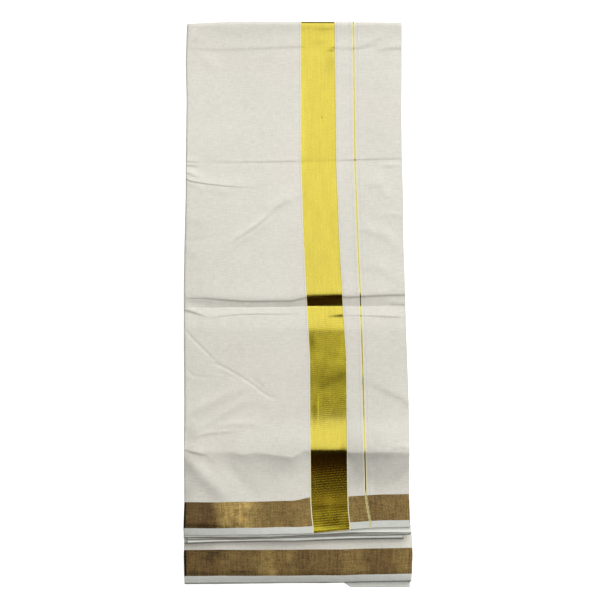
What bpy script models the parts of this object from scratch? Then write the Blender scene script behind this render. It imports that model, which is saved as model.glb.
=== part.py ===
"""A folded dhoti: one woven length of cotton, doubled four times along its length and once
across its width, lying flat.

Run it with: blender --background --python part.py

The cloth lies on the plane Z = 0. X runs across the folded bundle, Y along it with the top fold
at +Y, and the open ends with their woven borders at -Y. The origin is at the middle of the base.

Every point of the bundle is found from three bundle coordinates:
  across   the place from the left fold to the right-hand edge,
  level    the distance from the bundle's middle plane, large for the outer layer,
  station  the place along the bundle: up the front stack, round the top fold, down the back stack.
"""

import math

import bpy
import numpy as np

MM = 0.001

# ---- driving sizes ---------------------------------------------------------------------------
CUT_LENGTH = 4.00          # the whole cloth, cut end to cut end; it is 1.22 wide
DOUBLINGS = 4              # foldings along the length, before the one across the width
PANEL_WIDTH = CUT_LENGTH / 2**DOUBLINGS
BUNDLE_LENGTH = 0.640      # top fold to the longest selvedge

WALL = 1.0 * MM            # the outer layer's thickness
SEAM_GAP = 0.3 * MM        # clearance between neighbouring pieces
MIDDLE_GAP = 0.4 * MM      # between the front stack and the back stack
GROUP_THICKNESS = {"upper": 0.8 * MM, "middle": 0.8 * MM, "lower": 1.2 * MM}
GROUP_GAP = 0.25 * MM       # groove between the layer groups at the edges
GROOVE_DEPTH = 7.0 * MM    # how far the grooves run in from the edges

# ---- levels, measured from the middle plane outwards ------------------------------------------
LEVEL_INNER = MIDDLE_GAP / 2                          # outer layer where it faces the middle plane
LEVEL_CORE_LOW = LEVEL_INNER + WALL + SEAM_GAP
LEVEL_CORE_HIGH = LEVEL_CORE_LOW + sum(GROUP_THICKNESS.values()) + 2 * GROUP_GAP
LEVEL_OUTER = LEVEL_CORE_HIGH + SEAM_GAP + WALL       # outer layer's outside face
GROUP_LEVEL = {
    "lower": LEVEL_CORE_LOW + GROUP_THICKNESS["lower"] / 2,
    "middle": LEVEL_CORE_LOW + GROUP_THICKNESS["lower"] + GROUP_GAP + GROUP_THICKNESS["middle"] / 2,
    "upper": LEVEL_CORE_HIGH - GROUP_THICKNESS["upper"] / 2,
}
GROUP_SWELL = {"upper": 1.0, "middle": 0.55, "lower": 0.0}   # share of the front's puffing

TURN_RADIUS = (LEVEL_OUTER - LEVEL_INNER) / 2         # the left fold of the outer layer
TURN_LEVEL = (LEVEL_OUTER + LEVEL_INNER) / 2
MIDDLE_Z = LEVEL_OUTER                                # height of the middle plane over the floor
TOP_FOLD_Y = BUNDLE_LENGTH / 2

# ---- short tables, in mm; "from_fold" is the distance down from the top fold --------------------
# Plan outline of the bundle.
OUTLINE_COLUMNS = ("from_fold", "left", "right")
OUTLINE = (
    (0, -127.0, 121.3),
    (160, -127.3, 120.6),
    (260, -127.8, 121.3),
    (320, -128.6, 123.0),
    (390, -128.0, 124.8),
    (465, -127.3, 126.4),
    (546, -127.2, 126.8),
    (582, -127.5, 126.9),
    (610, -126.6, 128.6),
    (640, -124.8, 126.4),
)
# How far the front face stands over its level at the top fold, along the bundle.
PUFF_COLUMNS = ("from_fold", "height")
PUFF = (
    (6, 0.0), (14, 0.5), (27, 0.2), (60, 0.9), (100, 1.3), (135, 1.2), (160, 0.7), (190, 1.5),
    (230, 2.2), (270, 2.8), (300, 3.2), (314, 3.2), (325, 0.3), (333, 0.8), (348, 2.0),
    (380, 1.7), (415, 1.2), (450, 0.7), (470, 2.0), (486, 3.0), (497, 1.7), (512, 1.1),
    (530, 0.8), (546, 0.6), (560, 0.4), (574, 0.2), (582, 0.0),
)
EDGE_FALL = 0.35           # share of that height lost at the side edges
# Where each layer ends at the open end, from the left side to the right.
SELVEDGE_COLUMNS = ("across", "front", "upper", "middle", "lower", "inner", "back_inner", "back_outer")
SELVEDGE = (
    (-128, 582.5, 585.0, 587.5, 589.5, 591.5, 635.0, 633.0),
    (-53, 582.3, 585.2, 587.0, 588.5, 590.5, 634.3, 632.5),
    (3, 580.8, 582.8, 585.5, 587.5, 589.0, 633.8, 631.5),
    (52, 576.5, 580.0, 583.5, 586.0, 587.8, 633.6, 633.0),
    (64, 575.7, 579.5, 582.5, 585.5, 587.3, 633.5, 638.5),
    (129, 573.2, 578.6, 581.0, 583.5, 585.5, 633.0, 640.0),
)
BACK_CORE_SHORTER = 2.5 * MM   # the back stack's hidden layers stop short of its top layer
# Raised press wrinkles of the front face: both ends, height and half width.
WRINKLE_COLUMNS = ("x0", "from_fold0", "x1", "from_fold1", "height", "half_width")
WRINKLES = (
    (-125, 352, -90, 389, 1.1, 7),
    (-90, 389, -25, 432, 0.9, 7),
    (-96, 266, -1, 200, 0.7, 9),
    (-126, 186, -68, 196, 0.9, 6),
    (-122, 492, -92, 520, 0.9, 9),
    (-118, 452, -50, 440, 0.6, 8),
    (60, 48, 112, 20, 0.6, 8),
)

# ---- rows of the meshes, as distances from the top fold in mm, closer where the cloth bends ----
FRONT_ROWS = (9, 14, 20, 27, 43, 60, 80, 100, 118, 135, 148, 160, 175, 190, 210, 230, 250, 270,
              286, 300, 307, 314, 319.5, 325, 333, 340, 348, 364, 380, 398, 415, 433, 450, 460,
              470, 478, 486, 491, 497, 512, 530, 546, 560, 574, 582)
BACK_ROWS = (60, 160, 260, 320, 390, 465, 546, 610, 632, 640)
CORE_FRONT_ROWS = (14, 27, 60, 100, 135, 160, 190, 230, 270, 300, 314, 325, 333, 348, 380, 415,
                   450, 470, 486, 497, 512, 530, 546, 560, 574, 582)
CORE_BACK_ROWS = (160, 260, 320, 390, 465, 546, 610, 640)
FOLD_STEPS = 6             # facets round the top fold
TURN_STEPS = 5             # facets round the left fold
CORNER_DIP = 3.0 * MM      # how far the top fold falls back at the left corner
CORNER_START = 20.0 * MM   # left of the middle, where that begins
CORNER_REACH = 107.0 * MM
CORNER_FADE = 120.0 * MM   # down from the fold, where the corner's set-back has gone
END_FOLLOW = 90.0          # mm over which the rows swing round to follow the selvedge
FRONT_END, BACK_END = FRONT_ROWS[-1], BACK_ROWS[-1]


def column(table, names, name):
    """One named column of a short table, as an array."""
    return np.array([row[names.index(name)] for row in table], float)


def along(table, names, name, where):
    """A named column read at a place along the table's first column, in mm."""
    return np.interp(where, column(table, names, names[0]), column(table, names, name))


def outline(name, from_fold):
    """X of an outline column at a distance from the top fold, both in metres."""
    return along(OUTLINE, OUTLINE_COLUMNS, name, from_fold / MM) * MM


def selvedge(name, x):
    """Distance of a layer's selvedge from the top fold at a place across, in metres."""
    return along(SELVEDGE, SELVEDGE_COLUMNS, name, x / MM) * MM


def wrinkle_height(x, from_fold):
    """Sum of ridges: each is a bell across its line and fades out at the line's two ends."""
    height = np.zeros(np.broadcast(x, from_fold).shape)
    for row in WRINKLES:
        line = {name: value * MM for name, value in zip(WRINKLE_COLUMNS, row)}
        run_x, run_f = line["x1"] - line["x0"], line["from_fold1"] - line["from_fold0"]
        length = math.hypot(run_x, run_f)
        dx, df = x - line["x0"], from_fold - line["from_fold0"]
        share = (dx * run_x + df * run_f) / length**2
        off = (dx * run_f - df * run_x) / length
        past_end = np.abs(share - np.clip(share, 0, 1)) * length
        end_fade = np.clip(1 - past_end / line["half_width"], 0, 1)
        height = height + line["height"] * np.exp(-((off / line["half_width"]) ** 2)) * end_fade
    return height


def puff_height(x, from_fold):
    """Height of the front face over its level at the top fold, lower towards both side edges."""
    crown = np.clip(1 - EDGE_FALL * np.abs(x / (PANEL_WIDTH / 2)) ** 3, 0.5, 1)
    return along(PUFF, PUFF_COLUMNS, "height", from_fold / MM) * MM * crown


def stations(front_rows, back_rows, fold_steps=FOLD_STEPS):
    """The rows along a layer: (kind, value), from the front selvedge over the top fold to the back."""
    rows = [("front", value * MM) for value in reversed(front_rows)]
    rows += [("fold", math.pi * step / fold_steps) for step in range(fold_steps + 1)]
    rows += [("back", value * MM) for value in back_rows]
    return rows


def end_shift(kind, value, x, end_name):
    """How far a row moves so that the last rows run along the layer's selvedge."""
    nominal = (FRONT_END if kind == "front" else BACK_END) * MM
    share = np.clip(1 - (nominal - value) / (END_FOLLOW * MM), 0, 1)
    return (selvedge(end_name, x) - nominal) * share


def corner_dip(x):
    """The top fold falls back a little at the left corner."""
    return CORNER_DIP * np.clip((-x - CORNER_START) / CORNER_REACH, 0, 1) ** 2


def place(x, level, kind, value, ends, swell=0.0):
    """World points of one row: x across, level from the middle plane, ends = its selvedge names.

    swell is the share of the front face's puffing and wrinkles that this level takes up.
    """
    x = np.asarray(x, float)
    level = np.broadcast_to(np.asarray(level, float), x.shape)
    fold_centre = TOP_FOLD_Y - LEVEL_OUTER - corner_dip(x)
    if kind == "fold":
        y = fold_centre + level * math.sin(value)
        z = MIDDLE_Z + level * math.cos(value)
        return np.stack((x, y, z), axis=-1)
    from_fold = value + end_shift(kind, value, x, ends[0 if kind == "front" else 1])
    y = TOP_FOLD_Y - from_fold - corner_dip(x) * np.clip(1 - value / CORNER_FADE, 0, 1)
    if kind == "back":
        return np.stack((x, y, MIDDLE_Z - level), axis=-1)
    lift = puff_height(x, value) * swell
    return np.stack((x, y, MIDDLE_Z + level + lift), axis=-1)


def mesh_object(name, vertices, faces, collection, material):
    """A new object from points and faces, with one material."""
    mesh = bpy.data.meshes.new(name)
    mesh.from_pydata([tuple(v) for v in vertices], [], faces)
    mesh.update()
    thing = bpy.data.objects.new(name, mesh)
    mesh.materials.append(material)
    collection.objects.link(thing)
    return thing


def grid_faces(rows, columns, start=0, flip=False):
    """Quads of a grid of rows by columns points."""
    faces = []
    for row in range(rows - 1):
        for col in range(columns - 1):
            a = start + row * columns + col
            quad = (a, a + 1, a + columns + 1, a + columns)
            faces.append(quad[::-1] if flip else quad)
    return faces


def make_material(name, colour, roughness):
    material = bpy.data.materials.new(name)
    material.use_nodes = True
    shader = material.node_tree.nodes["Principled BSDF"]
    shader.inputs["Base Color"].default_value = (*colour, 1.0)
    shader.inputs["Roughness"].default_value = roughness
    shader.inputs["Metallic"].default_value = 0.0
    return material


# ---- the outer layer --------------------------------------------------------------------------
# Its section starts at the cut end, runs right to left across the front, turns down round the
# left fold and comes back to the right on the inside.
FRONT_STEPS = 15
INNER_STEPS = 5
CUT_END_INSET = 1.3 * MM   # the cut end lies a little inside the folds under it


def outer_row(kind, value):
    """World points of one section of the outer layer's outside face."""
    from_fold = 0.0 if kind == "fold" else value
    right = outline("right", from_fold)
    left = outline("left", from_fold) + TURN_RADIUS
    front_x = np.linspace(right - CUT_END_INSET, left, FRONT_STEPS + 1)
    inner_x = np.linspace(left, right, INNER_STEPS + 1)
    angles = np.arange(1, TURN_STEPS) * math.pi / TURN_STEPS
    turn_x = left - TURN_RADIUS * np.sin(angles)
    turn_level = TURN_LEVEL + TURN_RADIUS * np.cos(angles)
    outer_ends, inner_ends = ("front", "back_outer"), ("inner", "back_inner")
    front = place(front_x, LEVEL_OUTER, kind, value, outer_ends, swell=1.0)
    if kind == "front":
        front[:, 2] += wrinkle_height(front_x, value)
    inner = place(inner_x, LEVEL_INNER, kind, value, inner_ends)
    share = (1 - np.cos(angles)) / 2                   # 0 at the front face, 1 at the inner face
    at_outer = place(turn_x, turn_level, kind, value, outer_ends, 1 - share)
    at_inner = place(turn_x, turn_level, kind, value, inner_ends, 1 - share)
    turn = at_outer * (1 - share[:, None]) + at_inner * share[:, None]
    return np.concatenate((front, turn, inner))


def outer_layer(collection):
    """One open surface with Solidify: front face, left fold and inner face, over the top fold.

    Its outside stays at the outer level, which is the flat underside on the back.
    """
    points = [outer_row(kind, value) for kind, value in stations(FRONT_ROWS, BACK_ROWS)]
    thing = mesh_object("outer_layer", np.concatenate(points),
                        grid_faces(len(points), len(points[0]), flip=True), collection,
                        make_material("outer_cotton", (0.72, 0.70, 0.62), 0.9))
    shell = thing.modifiers.new("cloth", "SOLIDIFY")
    shell.thickness = WALL
    shell.offset = -1.0
    shell.use_even_offset = True
    return thing


# ---- the hidden layers ------------------------------------------------------------------------
CORE_COLUMNS = 9
SPINE_STAGGER = 1.7        # mm between the joining solid's rows and the groups' rows
EDGE_ROUND = 0.3 * MM      # softened edges of the layer groups
GROUP_RIGHT_INSET = {"upper": 0.2 * MM, "middle": 0.0, "lower": 0.7 * MM}
GROUP_LEFT_REACH = {"upper": 0.0, "middle": 1.3 * MM, "lower": 0.0}


def core_sheet(name, inset=0.0, stagger=0.0, fold_steps=FOLD_STEPS):
    """Rows of points on a layer group's middle surface, optionally inset from every edge.

    stagger moves the rows along the bundle, so that two joined bodies never share an edge.
    """
    rows = []
    ends = (name, "back_inner")
    front_rows = [value - stagger for value in CORE_FRONT_ROWS]
    back_rows = [value - stagger for value in CORE_BACK_ROWS]
    for kind, value in stations(front_rows, back_rows, fold_steps):
        from_fold = 0.0 if kind == "fold" else value
        left = outline("left", from_fold) + TURN_RADIUS - GROUP_LEFT_REACH[name] + inset
        right = outline("right", from_fold) - GROUP_RIGHT_INSET[name] - inset
        x = np.linspace(left, right, CORE_COLUMNS)
        points = place(x, GROUP_LEVEL[name], kind, value, ends, GROUP_SWELL[name])
        rows.append(points)
    rows[0][:, 1] += inset
    rows[-1][:, 1] += inset + BACK_CORE_SHORTER
    return np.array(rows)


def layer_group(name, collection, material):
    """One group of folded layers: an open surface with Solidify, centred on its level."""
    sheet = core_sheet(name)
    rows, columns = sheet.shape[:2]
    thing = mesh_object(name + "_layers", sheet.reshape(-1, 3), grid_faces(rows, columns),
                        collection, material)
    shell = thing.modifiers.new("layers", "SOLIDIFY")
    shell.thickness = GROUP_THICKNESS[name]
    shell.offset = 0.0
    shell.use_even_offset = True
    softened = thing.modifiers.new("rounded edges", "BEVEL")
    softened.width = EDGE_ROUND
    softened.segments = 2
    softened.limit_method = "ANGLE"
    softened.angle_limit = math.radians(50)
    return thing


def core_spine(collection, material):
    """The solid that joins the groups: a loft from the upper group's middle to the lower's."""
    top = core_sheet("upper", GROOVE_DEPTH, SPINE_STAGGER, FOLD_STEPS + 1)
    bottom = core_sheet("lower", GROOVE_DEPTH, SPINE_STAGGER, FOLD_STEPS + 1)
    rows, columns = top.shape[:2]
    count = rows * columns
    faces = grid_faces(rows, columns) + grid_faces(rows, columns, start=count, flip=True)
    rim = [row * columns for row in range(rows)]
    rim += [(rows - 1) * columns + col for col in range(1, columns)]
    rim += [row * columns + columns - 1 for row in range(rows - 2, -1, -1)]
    rim += list(range(columns - 2, 0, -1))
    for here, following in zip(rim, rim[1:] + rim[:1]):
        faces.append((here, following, following + count, here + count))
    return mesh_object("inner_layers", np.concatenate((top.reshape(-1, 3), bottom.reshape(-1, 3))),
                       faces, collection, material)


def inner_layers(collection, guides):
    """The hidden layers as one body, grooved round its edges between the groups."""
    material = make_material("inner_cotton", (0.68, 0.66, 0.58), 0.9)
    spine = core_spine(collection, material)
    for name in GROUP_THICKNESS:
        group = layer_group(name, guides, material)
        group.hide_render = True
        group.display_type = "WIRE"
        join = spine.modifiers.new(name, "BOOLEAN")
        join.operation = "UNION"
        join.object = group
    return spine


def main():
    for old in list(bpy.data.objects):
        bpy.data.objects.remove(old)
    collection = bpy.data.collections.new("folded_dhoti")
    guides = bpy.data.collections.new("guides")
    bpy.context.scene.collection.children.link(collection)
    bpy.context.scene.collection.children.link(guides)
    outer_layer(collection)
    inner_layers(collection, guides)


main()
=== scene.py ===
"""A folded dhoti, finished: cotton woven with a gold end band and bronze side borders.

Sizes are in metres; MM turns the short tables, which are in millimetres, into metres. The frame is
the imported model's: X across the folded bundle, Y along it with the top fold at +Y, Z up.
"""

import math

import bpy
import numpy as np
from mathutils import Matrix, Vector


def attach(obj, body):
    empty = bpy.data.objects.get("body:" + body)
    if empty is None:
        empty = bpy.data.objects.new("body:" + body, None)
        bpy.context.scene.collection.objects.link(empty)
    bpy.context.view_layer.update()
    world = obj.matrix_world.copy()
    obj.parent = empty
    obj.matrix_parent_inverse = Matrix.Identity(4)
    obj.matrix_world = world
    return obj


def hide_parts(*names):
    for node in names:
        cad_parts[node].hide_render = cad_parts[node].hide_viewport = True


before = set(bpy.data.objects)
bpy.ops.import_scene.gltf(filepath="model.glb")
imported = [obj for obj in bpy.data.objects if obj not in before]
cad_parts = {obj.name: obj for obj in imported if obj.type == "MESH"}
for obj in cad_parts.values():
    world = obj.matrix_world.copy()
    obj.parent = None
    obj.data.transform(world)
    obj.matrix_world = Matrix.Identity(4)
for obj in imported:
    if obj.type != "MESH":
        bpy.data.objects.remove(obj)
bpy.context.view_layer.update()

MM = 0.001


class Table:
    """A short table in mm with named columns."""

    def __init__(self, names, rows):
        self.names, self.rows = names, rows

    def column(self, name):
        return np.array([row[self.names.index(name)] for row in self.rows], float)

    def along(self, name, where):
        """A column read, in metres, at a place in metres along the first column."""
        return np.interp(where / MM, self.column(self.names[0]), self.column(name)) * MM


# ---- the cloth ----
CUT_LENGTH = 4.00
CUT_WIDTH = 1.22
DOUBLINGS = 4
PANELS = 2**DOUBLINGS
PANEL = CUT_LENGTH / PANELS
CLOTH = 0.22 * MM  # thickness of one layer
LINE_WIDTH = 1.3 * MM  # fine gold line beside it
EDGING = 1.0 * MM  # pale threads along both sides of band and line
SOFT = 0.25 * MM  # softness of the woven edges
BORDER_MARGIN = 8.0 * MM  # plain selvedge outside the bronze border
BORDER_WIDTH = 28.7 * MM

# ---- the folded bundle ----
LEVEL_INNER = 0.2 * MM  # levels are distances from the bundle's middle plane
LEVEL_OUTER = 5.0 * MM
PITCH = (LEVEL_OUTER - LEVEL_INNER) / PANELS
INNERMOST = PANELS - 1  # the levels are numbered from 0, the outermost layer
MIDDLE_Z = LEVEL_OUTER
HALF_WIDTH = 126.0 * MM
TOP_FOLD_Y = 320.0 * MM  # distances "from the fold" are counted from here
TOP_SWELL = 3.1 * MM  # the fold itself bulges this much further
FOLD_REACH = 0.8  # the fold is this much shorter than half its height
TURN_CENTRE = 2.40 * MM  # the left folds turn round a line this far in from the left edge
CORNER_DIP = 2.4 * MM  # the top fold falls back this far at the left corner,
CORNER_START = 70.0 * MM  # beginning this far left of the middle
CORNER_RUN = 57.0 * MM
RIGHT_DIP = 0.7 * MM  # and this far at the right edge, beginning at the middle
SETTLE = 120.0 * MM  # below the top fold the dip dies away over this length
RELIEF_UNDER = 0.82  # the share of the press relief that the layers under the outermost keep
WRINKLE_LEVELS = 3  # wrinkles die away over this many levels
DROOP_FADE = 1.2  # the power by which the open end's droop fades towards the innermost layer
LEFT_STEP = 0.12 * MM  # each left fold lies this much further in than the one round it
LEFT_OPEN = 2.6 * MM  # and the innermost ones this much more at the open end
# The nests of right-hand folds, from the outermost: their insets, and what the open end adds.
NEST_INSETS = (0.5 * MM, 1.1 * MM, 0.2 * MM)
NEST_OPEN = (0.6 * MM, 0.6 * MM, 9.5 * MM)
NEST_WANDER = 0.25 * MM
LAST_EDGE_INSET, LAST_EDGE_WANDER = 0.9 * MM, 0.3 * MM

# ---- short tables, in mm; "from_fold" is the distance down from the top fold ----
OUTLINE = Table(("from_fold", "left", "right"), (
    (0, -127, 121.8), (42, -128.2, 121.4), (89, -126.8, 121), (160, -127.4, 121.2),
    (204, -127.2, 121.9), (250, -128, 122.2), (296, -128.6, 123.1), (364, -128.2, 124.9),
    (431, -127.2, 126.9), (499, -127.3, 127.4), (546, -127, 127.1), (576, -127.9, 127.5),
    (580, -126.9, 129.2), (587, -127, 129.6), (609, -127.4, 130.2), (640, -126.6, 128.9),
))
# Threads of the front panel that run along the bundle: the cut end, the fine line and the band.
THREADS = Table(("from_fold", "line", "band_right", "band_left"), (
    (0, 65.2, 43.7, 5.2), (160, 66.6, 44.9, 5.3), (250, 69.4, 48.2, 8.2), (318, 72.2, 51.8, 11.7),
    (386, 74.2, 55.9, 15.3), (465, 75.9, 56.3, 15.6), (543, 77.6, 56.9, 16.4), (560, 79.8, 57.4, 17.4),
    (577, 82.8, 59, 19.2),
))
CUT_END_INSET = 1.5 * MM  # the cut end lies this far inside the folds under it
THREAD_PLACE = {"cut_end": 0.0, "line": 48.5 * MM, "band_right": 69.0 * MM, "band_left": 109.0 * MM}
# Where the layers end at the open end. Level 0 is the outermost layer and level 15 the innermost.
# Each row is a level and its distance from the fold at the places across.
SELVEDGE_COLUMNS = ("level", -128, -53, 3, 53, 60, 95, 128)
FRONT_SELVEDGE = Table(SELVEDGE_COLUMNS, (
    (0, 582.5, 582.1, 580.8, 576.4, 575.6, 574, 573.2),
    (1, 584.8, 584.6, 582.6, 580, 579.4, 579.2, 579.2),
    (5, 586, 585.5, 583.4, 581, 580.2, 579.8, 579.8), (6, 587, 586.2, 584.2, 581.8, 581.4, 581.6, 581),
    (8, 588.4, 586.9, 585, 583.4, 583.2, 583, 582.4), (9, 591.2, 589, 588.2, 586.4, 586, 585.4, 585),
    (15, 592.4, 589.5, 588.9, 587.6, 587.2, 586.6, 586.4),
))
BACK_SELVEDGE = Table(SELVEDGE_COLUMNS, (
    (0, 635, 634.4, 633.8, 634.2, 634.4, 634.6, 634.8),
    (1, 636, 635.3, 634.8, 635.8, 640.6, 640.6, 640.4),
    (2, 637.4, 636.7, 636, 636.2, 635.6, 634.8, 634.6),
    (10, 637.3, 636.5, 635.6, 635.4, 635, 633.9, 633.7),
    (15, 636.3, 635.5, 635.1, 635.1, 634.6, 633.4, 633.2),
))
END_FOLLOW = 90.0 * MM  # over this length the rows swing round to follow the selvedges
FRONT_END, BACK_END = 582.0 * MM, 642.0 * MM

# Slope of the front face along the bundle, in degrees, up towards the open end; the press creases
# are where it changes sharply.
SLOPES = Table(("from_fold", "slope"), (
    (2, -6), (6, -4.8), (12, -3.4), (20, -2.4), (25, -2.2), (27.5, -3.4), (29.5, -2), (31, -0.8),
    (40, -0.7), (60, -0.4), (67, -1), (70.5, 0.5), (90, 0.3), (120, 0.7), (148, 0.8), (156, -0.7),
    (159, -1.7), (160.6, -2), (162, 0.3), (163.4, 2.6), (168, 1.8), (180, 1.6), (200, 1), (250, 1),
    (290, 1.8), (304, 2.6), (309.5, 2.6), (312.5, 0), (314.6, -4), (315.7, -9), (316.4, -34),
    (317.2, -34), (318.2, -8.5), (325.8, -8.5), (326.4, 9), (328.5, 4.4), (340, 4.2), (348, 3.2),
    (355, -0.6), (370, -0.4), (385, -0.1), (398, -0.1), (406, -0.5), (414, -0.2), (424, 0.5),
    (434, 0.3), (441, 0.4), (450, 0.9), (458, 3.2), (466, 4.8), (478, 5.2), (484, 4.2), (488, 1.2),
    (490.5, -10.5), (494, -10.5), (499, -7), (507, -4), (512, -2.3), (520, -1.4), (530, -0.7),
    (536, 0.1), (543, 1), (546, 1.2), (550, 0.4), (557, 1.4), (562, 1), (568, 1.8), (573, 3.2),
    (576, 4.2), (578, 2.5), (582, -4),
))
# How far the creases stray along the bundle, at places across it, and how high the lower one is.
STRAY = Table(("across", "upper_crease", "side_pinch", "middle_crease", "crease_foot", "lower_crest",
               "lower_share"), (
    (-129, 0.5, -8, 0.8, 1.6, 0, 0.7), (-121, 0.4, -3.7, 0.6, 1.6, 0.5, 0.5),
    (-104, 0.2, -1, 0.5, 1.6, 1, 0.35), (-84, 0, 1.4, 2.2, 1.4, 2, 0.45),
    (-73, 0, 2.2, 3, 1.2, 1.5, 0.7), (-61, 0, 2.6, 3.9, 1.2, 4, 0.95),
    (-45, 0, 1.6, 4, 1.1, 1.6, 1.05), (-26, 0, 0, 3.6, 0.8, 4, 1.1), (-5, 0, 0, 3.5, 0.5, 7, 1.1),
    (8, 0, 0, 0.4, 0, -0.5, 1), (50, -1, 0, -1.2, 0, -0.5, 1.1), (60, -1.6, 0, -0.6, 0, 1.6, 1.6),
    (98, -2.2, 0, -2.8, 0, 1.2, 1.9), (125, -2.4, 0, -3.4, 0, 1.2, 1.9),
))
LOW_PLACE = 530.0 * MM  # the lower crest's share counts from the height here
CREST_PLACE, CREST_RUN = 488.0 * MM, 40.0 * MM
CREST_SKEW = 0.7  # over that run below the crest, its share moves this much sideways per length
# Where each stray is whole, and over what length before and after that it dies away.
STRAY_REACH = {
    "upper_crease": (160.5, 16, 16), "side_pinch": (187, 22, 22), "middle_crease": (317, 30, 9.5),
    "crease_foot": (326.2, 9, 12), "lower_crest": (488, 26, 26),
}
# How the open end hangs: the front half's drop, how much each layer under it springs up, and the
# far half's rise before its own drop.
DROOP = Table(("across", "front_end", "loosened", "far_rise", "far_end"), (
    (-128, 3.4, 0.06, 0.3, 2.2), (-112, 3.2, 0.07, 0.6, 2.3), (-90, 3, 0.1, 1.3, 2.5),
    (-70, 2, 0.15, 1.8, 2.8), (-48, 0.6, 0.22, 2.6, 3.1), (0, 0, 0.28, 3.4, 3.7),
    (52, 0.6, 0.23, 2.9, 3.3), (100, 1.1, 0.18, 2.2, 2.7), (128, 1.4, 0.15, 1.8, 2.3),
))
# Where changes along the bundle start, and the length over which they grow, in mm from the fold.
GROWTH = {
    "swell": (6, 40), "lower_share": (430, 40), "narrowing": (430, 150), "loosening": (530, 40),
    "far_rise": (556, 28), "front_droop": (565, 24), "far_fall": (621, 14), "curl": (635.5, 6),
}
CURL = 1.5 * MM  # the second layer's far end curls up by this
# The slow swell of the pressed cloth: a base height in mm, and crossing waves.
SWELL_BASE = 0.48
SWELL = Table(("height", "across", "down", "phase"),
              ((0.20, 31, 83, 0.7), (0.18, -52, 47, 2.1), (0.10, 19, -64, 4.0)))
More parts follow.
